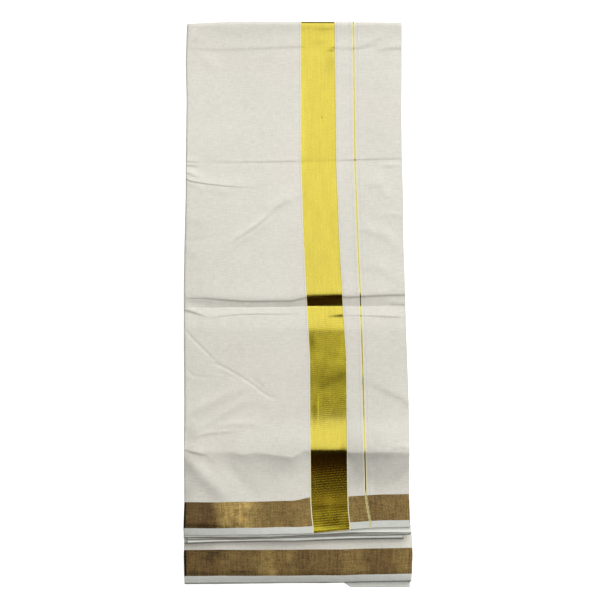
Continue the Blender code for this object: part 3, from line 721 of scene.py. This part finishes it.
class Finish:
    """A material and the one way its nodes are added."""

    def __init__(self, name):
        self.material = bpy.data.materials.new(name)
        self.material.use_nodes = True
        self.tree = self.material.node_tree
        self.shader = self.tree.nodes["Principled BSDF"]

    def node(self, kind, settings, sockets, output=0):
        """Adds a node: first its settings, then the values or wires of its sockets. The setting
        "stops" is a ramp's list of places and grey values."""
        made = self.tree.nodes.new(kind)
        for name, value in settings.items():
            if name == "stops":
                marks = made.color_ramp.elements
                while len(marks) < len(value):
                    marks.new(1.0)
                for mark, (place, share) in zip(marks, value):
                    mark.position = place
                    mark.color = (share, share, share, 1.0)
            else:
                setattr(made, name, value)
        for key, value in sockets.items():
            self.feed(made.inputs[key], value)
        return Wire(self, made.outputs[output])

    def feed(self, socket, value):
        if isinstance(value, Wire):
            self.tree.links.new(value.socket, socket)
        else:
            socket.default_value = value

    def step(self, value, start, end):
        """0 before start, 1 after end, and a smooth step between."""
        return self.node("ShaderNodeMapRange", {"interpolation_type": "SMOOTHSTEP"},
                         {"Value": value, "From Min": start, "From Max": end})

    def stripe(self, value, low, high, soft=SOFT):
        """1 between two places, with soft edges."""
        return self.step(value, low - soft, low + soft) - self.step(value, high - soft, high + soft)

    def graph(self, value, table, start, run):
        """A table of places and shares read at a value; both ends hold beyond it."""
        places, shares = (table.column(name) for name in table.names)
        stops = list(zip((places * MM - start) / run, shares))
        return self.node("ShaderNodeValToRGB", {"stops": stops}, {"Fac": (value - start) / run})

    def mix(self, factor, first, second, blend="MIX"):
        return self.node("ShaderNodeMix", {"data_type": "RGBA", "blend_type": blend},
                         {0: factor, 6: first, 7: second}, output=2)

    def toned(self, colour, tone):
        """A colour times a number."""
        grey = self.node("ShaderNodeCombineXYZ", {}, {0: tone, 1: tone, 2: tone})
        return self.mix(1.0, colour, grey, "MULTIPLY")

    def noise(self, vector, stretch, detail=2.0, roughness=0.5):
        """Noise of a vector scaled by its own stretch along each axis, in 1/metre."""
        scaled = self.node("ShaderNodeVectorMath", {"operation": "MULTIPLY"}, {0: vector, 1: stretch})
        return self.node("ShaderNodeTexNoise", {"noise_dimensions": "3D"},
                         {"Vector": scaled, "Scale": 1.0, "Detail": detail, "Roughness": roughness})

    def sine(self, value, pitch):
        """A sine wave of a length, one full wave to each pitch."""
        return self.node("ShaderNodeMath", {"operation": "SINE"}, {0: value * (2 * math.pi / pitch)})

    def marks(self, vector, table):
        """The sum of soft oval marks: each is its tone at its place and dies away to 0 at 1.6
        times its reach."""
        total = 0.0
        for row in table.rows:
            mark = {name: value * MM for name, value in zip(table.names, row)}
            away = self.node("ShaderNodeVectorMath", {"operation": "SUBTRACT"},
                             {0: vector, 1: (mark["warp"], mark["weft"], 0)})
            scaled = self.node("ShaderNodeVectorMath", {"operation": "MULTIPLY"},
                               {0: away, 1: (1 / mark["reach_warp"], 1 / mark["reach_weft"], 0)})
            distance = self.node("ShaderNodeVectorMath", {"operation": "LENGTH"}, {0: scaled}, output=1)
            total = self.step(distance, 1.6, 0.0) * row[table.names.index("tone")] + total
        return total


def linear(red, green, blue):
    """A display colour, 0 to 255, as the linear colour that a shader takes."""
    parts = [value / 255 for value in (red, green, blue)]
    return (*[p / 12.92 if p <= 0.04045 else ((p + 0.055) / 1.055) ** 2.4 for p in parts], 1.0)


class Weave:
    """The cloth's own places, for one finish: along the cut, across it, and round its folds."""

    def __init__(self, finish):
        self.finish = finish
        self.place = finish.node("ShaderNodeUVMap", {"uv_map": "weave"}, {})
        self.warp = finish.node("ShaderNodeSeparateXYZ", {}, {0: self.place})
        self.weft = finish.node("ShaderNodeSeparateXYZ", {}, {0: self.place}, output=1)
        self.turned = finish.node("ShaderNodeAttribute", {"attribute_name": "turned"}, {}, output=2)

    def noise(self, *stretch, detail=2.0, roughness=0.5):
        return self.finish.noise(self.place, stretch, detail, roughness)

    def uneven(self, amount, *stretch, detail=2.0, roughness=0.5):
        """Noise of an amount, 0 on average."""
        return (self.noise(*stretch, detail=detail, roughness=roughness) - 0.5) * amount

    def from_selvedges(self, near, far):
        """1 from one distance to another, counted in from either selvedge."""
        return (self.finish.stripe(self.weft, near, far)
                + self.finish.stripe(self.weft, CUT_WIDTH - far, CUT_WIDTH - near))

    def beside(self, name, near, far):
        """1 from one distance to another on both sides of a thread line."""
        place = THREAD_PLACE[name]
        return (self.finish.stripe(self.warp, place - far, place - near)
                + self.finish.stripe(self.warp, place + near, place + far))


def cotton_colour(finish, weave, slubs):
    """Unbleached cotton: slubs both ways, loose and tight stretches, faint warm and cool clouds, slightly
    darker at the cut end, painted light over the upper front face, painted shade in soft patches, round
    the folds and just below the top fold, painted shade as bluish grey stripes beside the gold, and
    greyer plain selvedges, partly their own thread and partly painted shade, with a last thread of
    painted shadow. The hidden layers' selvedges are brightened with painted light, and their last thread
    is a deeper painted shadow."""
    warp, weft = weave.warp, weave.weft
    tone = 1.0 + (slubs - 1.0) * 0.26
    tone = tone + weave.uneven(0.05, 9.0, 300.0, 1.0)
    tone = tone + weave.uneven(0.03, 300.0, 9.0, 1.0)
    tone = tone + weave.uneven(0.10, 26.0, 21.0, 1.0, detail=4.0, roughness=0.65)
    tone = tone + weave.uneven(0.07, 9.0, 12.0, 4.0, detail=1.0)
    tone = tone - finish.stripe(warp, -9 * MM, 60 * MM, 18 * MM) * 0.018
    # Painted light: brighter from about 180 mm in from the front selvedge on, towards the top fold.
    tone = tone + finish.step(weft, 180 * MM, 430 * MM) * 0.025
    # Painted shade: a darker band around the top fold.
    tone = tone - finish.stripe(weft, 548 * MM, 620 * MM, 18 * MM) * 0.025
    # Painted shade in soft darker patches.
    tone = tone + finish.marks(weave.place, COTTON_PAINTED_SHADE)
    # Painted shade where the cloth turns round a fold, deeper round the top fold.
    at_top_fold = finish.stripe(weft, 560 * MM, 660 * MM, 10 * MM)
    tone = tone * (1.0 - finish.step(weave.turned, 0.06, 0.42) * (0.16 + at_top_fold * 0.13))
    tint = weave.noise(7.0, 9.0, 3.0)
    warm, cool = linear(210, 206, 196.5), linear(207.5, 206.5, 195.5)
    plain = finish.mix(finish.step(tint, 0.35, 0.65), warm, cool)
    # Painted shade: bluish grey stripes just outside the gold band and beside the fine line.
    painted_shade_by_gold = weave.beside("band_left", EDGING, 2.6 * MM) + weave.beside("band_right", EDGING, 2.6 * MM)
    painted_shade_by_gold = painted_shade_by_gold + weave.beside("line", 3.4 * MM, 4.6 * MM)
    plain = finish.mix(painted_shade_by_gold * 0.34, plain, linear(184, 190, 192))
    # The plain selvedges' greyer colour is partly their own neutral thread and partly painted shade.
    plain = finish.mix(weave.from_selvedges(-MM, BORDER_MARGIN), plain, linear(197, 200, 193))
    # Painted light: the hidden layers' selvedges, which show as strips at the open end, are brightened
    # against their shade.
    inside = finish.step(warp, 2 * PANEL - MM, 2 * PANEL + MM)
    tone = tone + weave.from_selvedges(-MM, 14 * MM) * inside * 0.36
    # Painted shadow: a dark last thread at each selvedge stands for the shadow under each layer's edge,
    # deeper on the hidden layers.
    painted_edge_shadow = weave.from_selvedges(-MM, 0.6 * MM)
    plain = finish.mix(painted_edge_shadow * 0.7, plain, linear(112, 108, 98))
    plain = finish.mix(painted_edge_shadow * inside * 0.4, plain, linear(62, 52, 38))
    return finish.toned(plain, tone)


def gold_colour(finish, weave, rib):
    """Flat metal thread: broad cross ribs near its end and thin ones further on, fine streaks along it,
    blotches, glitter, soft spots of painted reflection and painted shade, and painted shade round the
    folds. The ribbed end and the worn middle stretch are deeper in colour, and two stretches beside the
    creases are tarnished brown."""
    weft = weave.weft
    ribbed = finish.step(weft, 84 * MM, 66 * MM)
    smooth_gap = finish.stripe(weft, 24 * MM, 46 * MM, 8 * MM)
    swell = rib * 0.5 + 0.5
    peaks = swell * swell * swell
    fine_rib = finish.sine(weft + weave.noise(30.0, 14.0, 7.0) * (1.2 * MM), 2.2 * MM)
    fine_ribbed = finish.stripe(weft, 118 * MM, 232 * MM, 12 * MM)
    tone = 1.0 + ribbed * (1.0 - smooth_gap * 0.7) * (peaks * 1.30 - 0.36)
    tone = tone + fine_rib * fine_ribbed * (weave.noise(60.0, 40.0, 3.0) - 0.25) * 0.65
    tone = tone + weave.uneven(0.26 - ribbed * 0.12, 460.0, 22.0, 1.0, roughness=0.6)
    tone = tone + weave.uneven(0.16 + fine_ribbed * 0.34, 110.0, 80.0, 2.0, detail=3.0)
    tone = tone + weave.uneven(0.22, 560.0, 560.0, 9.0, detail=1.0)
    # Painted reflections and painted shade in soft spots.
    tone = tone + finish.marks(weave.place, GOLD_PAINTED_SHEEN_AND_SHADE)
    # Painted shade where the gold turns round a fold.
    tone = tone * (1.0 - finish.stripe(weave.turned, 0.16, 0.9, 0.06) * 0.82)
    metal = finish.mix(ribbed, linear(209, 193, 82), linear(210, 180, 52))
    worn = finish.stripe(weft, 132 * MM, 224 * MM, 8 * MM)
    metal = finish.mix(worn * 0.8, metal, linear(216, 198, 58))
    tarnished = finish.stripe(weft, 253 * MM, 263 * MM, 0.8 * MM)
    tarnished = tarnished + finish.step(weft, 48 * MM, 76 * MM) * finish.step(weft, 89 * MM, 84 * MM)
    metal = finish.mix(tarnished * 0.8, metal, linear(182, 128, 36))
    return finish.toned(metal, tone)


def bronze_colour(finish, weave):
    """Metal warp among brown cotton: a painted highlight in places, with thick and thin threads both
    ways and soft spots of painted highlight and painted shade, painted shade nearly black round the
    first side fold and in a thin line near the second panel's far fold, and a light thread at the cut
    end. The tables are followed on the two panels whose borders show, and noise on the others."""
    warp = weave.warp
    uneven = weave.uneven(34 * MM, 38.0, 75.0, 3.0)
    # Painted highlight: where the bronze is brightened, from the tables on the two panels that show and
    # noise on the others.
    first = finish.graph(warp + uneven, FRONT_PAINTED_HIGHLIGHT, 0.0, PANEL)
    second = finish.graph(warp + uneven, INNER_PAINTED_HIGHLIGHT, PANEL, PANEL)
    other = finish.step(weave.noise(26.0, 16.0, 3.0), 0.40, 0.75)
    in_first = finish.stripe(warp, -0.1, PANEL, 2 * MM)
    in_second = finish.stripe(warp, PANEL, 2 * PANEL, 2 * MM)
    painted_highlight = first * in_first + second * in_second + other * (1.0 - in_first - in_second)
    tone = 1.02 + weave.uneven(0.8, 80.0, 520.0, 1.0, detail=1.0, roughness=0.6)
    tone = tone + weave.uneven(1.1, 480.0, 60.0, 5.0, detail=1.0, roughness=0.6)
    tone = tone + weave.uneven(1.5, 620.0, 620.0, 2.0, detail=1.0, roughness=0.6)
    # Painted highlights and painted shade in soft spots and lines.
    tone = tone + finish.marks(weave.place, BRONZE_PAINTED_SHEEN_AND_SHADE) * 1.5
    # Painted shade: nearly black round the first side fold.
    tone = tone * (1.0 - finish.stripe(warp, PANEL - 1.5 * MM, PANEL + 1.5 * MM, 0.5 * MM) * 0.9)
    tone = tone * (1.0 + finish.stripe(warp, 1.4 * MM, 2.6 * MM) * 0.3)
    # Painted shade: a thin dark line along a crease 2 to 3 mm before the second panel's far fold.
    tone = tone * (1.0 - finish.stripe(warp, 2 * PANEL - 3.2 * MM, 2 * PANEL - 2.2 * MM) * 0.4)
    # The painted highlight mixes the dark bronze towards a bright one.
    return finish.toned(finish.mix(painted_highlight, linear(108, 84, 52), linear(202, 173, 104)), tone)


def woven_cloth():
    """Unbleached cotton with the gold band and line across it and bronze borders along it."""
    finish = Finish("dhoti_weave")
    weave = Weave(finish)
    warp, weft = weave.warp, weave.weft
    slubs = (weave.noise(110.0, 820.0, 1.0, roughness=0.55) * 1.15
             + weave.noise(820.0, 130.0, 1.0, roughness=0.55) * 0.85)
    rib = finish.sine(weft + weave.noise(40.0, 14.0, 7.0, detail=1.0) * (0.8 * MM), 2.7 * MM)

    line = THREAD_PLACE["line"]
    over_border = 1.0 - finish.step(weft, 38 * MM, 42 * MM)
    band = finish.stripe(warp, THREAD_PLACE["band_right"], THREAD_PLACE["band_left"])
    fine = finish.stripe(warp, line - LINE_WIDTH / 2, line + LINE_WIDTH / 2) * (1.0 - over_border * 0.75)
    swing = finish.sine(weft, 10.4 * MM) * (1.0 * MM)
    strands = (finish.stripe(warp + swing, line - 0.42 * MM, line + 0.42 * MM)
               + finish.stripe(warp - swing, line - 0.42 * MM, line + 0.42 * MM))
    braid = finish.node("ShaderNodeMath", {"operation": "MINIMUM"}, {0: strands, 1: 1.0}) * over_border
    edging = (finish.stripe(warp, THREAD_PLACE["band_right"] - EDGING, THREAD_PLACE["band_right"])
              + finish.stripe(warp, THREAD_PLACE["band_left"], THREAD_PLACE["band_left"] + EDGING)
              + weave.beside("line", LINE_WIDTH / 2, LINE_WIDTH / 2 + EDGING) * (1.0 - over_border))
    gold = band + fine
    drawn = finish.step(warp, 134 * MM, 108 * MM) * finish.step(warp, 72 * MM, 104 * MM) * (3.0 * MM)
    border = weave.from_selvedges(BORDER_MARGIN, drawn + (BORDER_MARGIN + BORDER_WIDTH))
    bronze = border * (1.0 - gold) * (1.0 - edging - braid)

    colour = finish.mix(gold, cotton_colour(finish, weave, slubs), gold_colour(finish, weave, rib))
    colour = finish.mix(bronze, colour, bronze_colour(finish, weave))
    colour = finish.mix(edging, colour, linear(216, 212, 176))
    twisted = finish.toned(linear(208, 199, 132), 0.86 + finish.sine(weft, 2.7 * MM) * 0.22)
    colour = finish.mix(braid, colour, twisted)
    pressed = weave.noise(34.0, 40.0, 5.0) * ((0.26 - band * 0.20) * MM)
    threads = slubs * (1.0 - gold) * (0.05 * MM)
    bump = finish.node("ShaderNodeBump", {},
                       {"Strength": 1.0, "Distance": 1.0, "Height": pressed + threads})
    for name, value in {"Base Color": colour, "Metallic": gold + bronze * 0.72,
                        "Roughness": 0.85 - gold * 0.64 - bronze * 0.42, "Normal": bump}.items():
        finish.feed(finish.shader.inputs[name], value)
    return finish.material


# ---- studio ----
CAMERA_TILT = 4.5  # degrees from the vertical
CAMERA_TARGET = np.array((4.0, 1.2, 10.0)) * MM
CAMERA_DISTANCE = 1.510


def paper(name, points, faces, glow):
    """A plain pale surface of the studio, which glows a little so that it stays even."""
    finish = Finish(name + "_paper")
    for socket, value in {"Base Color": (0.96, 0.96, 0.96, 1.0), "Roughness": 0.9,
                          "Emission Color": (1.0, 1.0, 1.0, 1.0), "Emission Strength": glow}.items():
        finish.feed(finish.shader.inputs[socket], value)
    mesh = bpy.data.meshes.new(name)
    mesh.from_pydata(points, [], faces)
    mesh.materials.append(finish.material)
    made = placed(name, mesh)
    return made


def studio_floor():
    """A plain pale floor, and a round pale wall at its rim that closes the low views. The wall gives
    no light and isn't mirrored. Its points go round a circle at the floor and at its top."""
    size = 12.0
    corners = [(-size, -size, 0), (size, -size, 0), (size, size, 0), (-size, size, 0)]
    paper("floor", corners, [(0, 1, 2, 3)], 0.65)
    count, height = 96, 5.0
    angle = np.arange(count) * (2 * math.pi / count)
    ring = np.stack([np.cos(angle) * size, np.sin(angle) * size, np.zeros(count)], axis=1)
    points = np.concatenate([ring, ring + (0.0, 0.0, height)])
    faces = [((k + 1) % count, k, k + count, (k + 1) % count + count) for k in range(count)]
    wall = paper("wall", points.tolist(), faces, 1.0)
    wall.visible_diffuse = wall.visible_glossy = wall.visible_shadow = False


def soft_sun(name, flat_light, from_vertical, towards_right, spread):
    """A sun with a soft wide disc, leaning from the vertical towards the top fold and, by the
    second angle, to the right; flat_light is the brightness it gives a flat white floor."""
    lean, turn = math.radians(from_vertical), math.radians(towards_right)
    data = bpy.data.lights.new(name, "SUN")
    data.energy = flat_light * math.pi / math.cos(lean)
    data.angle = math.radians(spread)
    lamp = placed(name, data)
    source = Vector((math.sin(lean) * math.sin(turn), math.sin(lean) * math.cos(turn), math.cos(lean)))
    lamp.rotation_euler = source.to_track_quat("Z", "Y").to_euler()
    return lamp


def window(name, flat_light, place, size):
    """A square soft light turned to the middle of the floor, which it gives flat_light there."""
    data = bpy.data.lights.new(name, "AREA")
    data.size = size
    data.energy = flat_light * math.pi**2 * Vector(place).length ** 3 / place[2]
    lamp = placed(name, data)
    lamp.location = place
    lamp.rotation_euler = Vector(place).to_track_quat("Z", "Y").to_euler()
    return lamp


def lights():
    """Soft suns from above, a low window beyond the top fold, and three dim ones that only the gold
    mirrors. The room itself is dark brown, which the gold's dark stretches mirror."""
    soft_sun("key", 0.413, 43.5, 10, 83)
    soft_sun("fill", 0.15, 35, 180, 60).visible_glossy = False
    window("low", 0.40, (1.5, 3.0, 1.25), 1.7)
    for name, x, y in (("far_wall", 0.0, -3.2), ("far_left", -2.9, -2.4), ("far_right", 2.9, -2.4)):
        window(name, 0.010, (x, y, 0.8), 1.4).visible_diffuse = False
    soft_sun("side_right", 0.08, 55, 100, 50)
    soft_sun("side_left", 0.04, 55, -95, 50)
    world = bpy.data.worlds.new("room")
    world.use_nodes = True
    background = world.node_tree.nodes["Background"].inputs
    background["Color"].default_value = (0.014, 0.007, 0.001, 1)
    background["Strength"].default_value = 1.0
    bpy.context.scene.world = world


def camera():
    """A long lens straight over the bundle, tilted a little back from the open end."""
    data = bpy.data.cameras.new("camera")
    data.lens = 80.0
    data.sensor_width = 36.0
    made = placed("camera", data)
    tilt = math.radians(CAMERA_TILT)
    made.location = CAMERA_TARGET + CAMERA_DISTANCE * np.array((0.0, -math.sin(tilt), math.cos(tilt)))
    made.rotation_euler = (tilt, 0, 0)
    bpy.context.scene.camera = made


def main():
    material = woven_cloth()
    strip = section(panel_columns())
    stub_end = int(np.flatnonzero(strip["panel"][0] == 2)[1])
    outer_strip = {name: values[:, : stub_end + 1] for name, values in strip.items()}
    inner_strip = {name: values[:, stub_end + 1:] for name, values in strip.items()}
    outer = cloth_piece("outer_cloth", *lay(outer_strip, stations(FINE_ROWS), True), material)
    inner = cloth_piece("inner_cloth", *lay(inner_strip, stations(COARSE_ROWS), False), material)
    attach(outer, "root")
    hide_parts("outer_layer")
    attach(inner, "root")
    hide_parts("inner_layers")
    studio_floor()
    lights()
    camera()
    bpy.context.scene.view_settings.view_transform = "Standard"


main()
